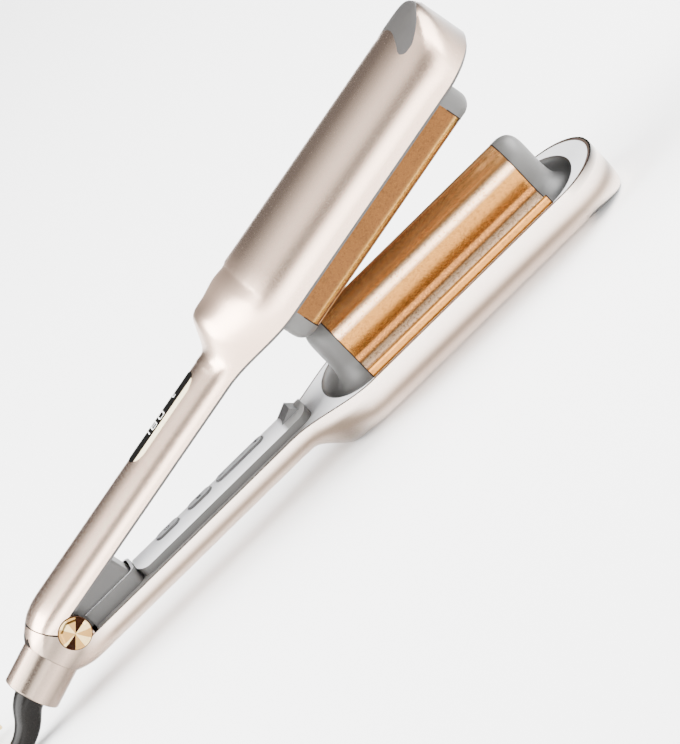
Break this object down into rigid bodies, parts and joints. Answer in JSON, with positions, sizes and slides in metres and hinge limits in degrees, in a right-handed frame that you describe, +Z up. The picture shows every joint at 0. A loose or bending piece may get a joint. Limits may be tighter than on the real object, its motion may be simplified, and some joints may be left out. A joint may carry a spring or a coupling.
{
  "type": "hair waver",
  "caption": "Hair waver: two hinged arms with wave-shaped heating plates, push buttons, a display and a swivel cord.",
  "frame": {"origin": "on the table, at the middle of the narrow flat that the lower arm's head rests on", "axes": "+X along the lower arm from the hinge to the tips, +Z up, +Y to the left of the hinge pin seen from the tail"},
  "size_m": [0.5081, 0.0984, 0.1201],
  "materials": {
    "casing_paint": "satin champagne paint with a fine metallic sheen",
    "cover_paint": "fine satin moulded",
    "heat_coating": "copper-coloured ceramic coating with fine sparkle",
    "grey_resin": "fine matt heat-resistant resin",
    "pad_resin": "fine matt",
    "dark_resin": "fine matt",
    "button_paint": "fine satin moulded",
    "rose_gold": "polished rose gold plating",
    "steel": "bright",
    "acetal": "natural",
    "circuit_board": "green solder mask",
    "switch_resin": "moulded",
    "heater_ceramic": "fired ceramic",
    "bezel_gloss": "ivory gloss",
    "black_glass": "black gloss",
    "cord_rubber": "satin",
    "wire_insulation": "satin",
    "blade_brass": "nickel-free bright brass"
  },
  "bodies": {
    "lower_arm": {"board_screws": "steel", "bracket_screws": "steel", "control_board": "circuit_board", "cord_coil": "cord_rubber", "cord_end": "cord_rubber", "cord_tie": "dark_resin", "finger_guard": "cover_paint", "hinge_disc_left": "rose_gold", "hinge_disc_right": "rose_gold", "hinge_pin": "steel", "hinge_spring": "steel", "inner_lead": "cord_rubber", "lower_heat_plate": "heat_coating", "lower_heat_sensor": "heater_ceramic", "lower_heater": "heater_ceramic", "lower_inner_cover": "cover_paint", "lower_plate_bracket": "steel", "lower_rear_cap": "grey_resin", "lower_shell": "casing_paint", "lower_tip_cap": "grey_resin", "lower_tip_pad": "pad_resin", "plug_blades": "blade_brass", "plug_body": "cord_rubber", "power_cord": "cord_rubber", "strain_relief": "cord_rubber", "supply_wires": "wire_insulation", "swivel_core": "acetal", "swivel_retainer": "steel", "tact_switches": "switch_resin"},
    "upper_arm": {"upper_shell": "casing_paint", "upper_inner_cover": "cover_paint", "upper_heat_plate": "heat_coating", "upper_rear_cap_left": "grey_resin", "upper_rear_cap_right": "grey_resin", "upper_tip_cap_left": "grey_resin", "upper_tip_cap_right": "grey_resin", "upper_heater_left": "heater_ceramic", "upper_heater_right": "heater_ceramic", "upper_plate_rail_left": "steel", "upper_plate_rail_right": "steel", "rail_screws": "steel", "upper_heat_sensor": "heater_ceramic", "display_bezel": "bezel_gloss", "display_window": "black_glass", "display_board": "circuit_board", "upper_tip_pad": "pad_resin", "hinge_tongue": "dark_resin", "hinge_bush_left": "acetal", "hinge_bush_right": "acetal", "tongue_screws": "steel"},
    "power_button": {"power_button": "button_paint"},
    "mode_button": {"mode_button": "button_paint"},
    "temperature_rocker": {"temperature_rocker": "button_paint"},
    "swivel": {"swivel_collar": "casing_paint", "swivel_cap": "dark_resin"}
  },
  "joints": [
    {"name": "jaw_hinge", "type": "hinge", "parent": "lower_arm", "child": "upper_arm", "pos_m": [-0.221, 0, 0.0294], "axis": [0, 1, 0], "range_deg": [0, 11.5], "stiffness_Nm_per_rad": 1.5, "springref_deg": -34.38},
    {"name": "power_press", "type": "slide", "parent": "lower_arm", "child": "power_button", "axis": [0, 0, -1], "range_m": [0, 0.0005], "stiffness_N_per_m": 1500, "springref_m": -0.0004},
    {"name": "mode_press", "type": "slide", "parent": "lower_arm", "child": "mode_button", "axis": [0, 0, -1], "range_m": [0, 0.0005], "stiffness_N_per_m": 1500, "springref_m": -0.0004},
    {"name": "rocker_tilt", "type": "hinge", "parent": "lower_arm", "child": "temperature_rocker", "pos_m": [-0.1199, 0, 0.0255], "axis": [0, 1, 0], "range_deg": [-2.5, 2.5], "stiffness_Nm_per_rad": 0.3},
    {"name": "swivel_turn", "type": "hinge", "parent": "lower_arm", "child": "swivel", "pos_m": [-0.2361, 0, 0.0251], "axis": [-0.9472, 0, -0.3206], "continuous": true}
  ]
}
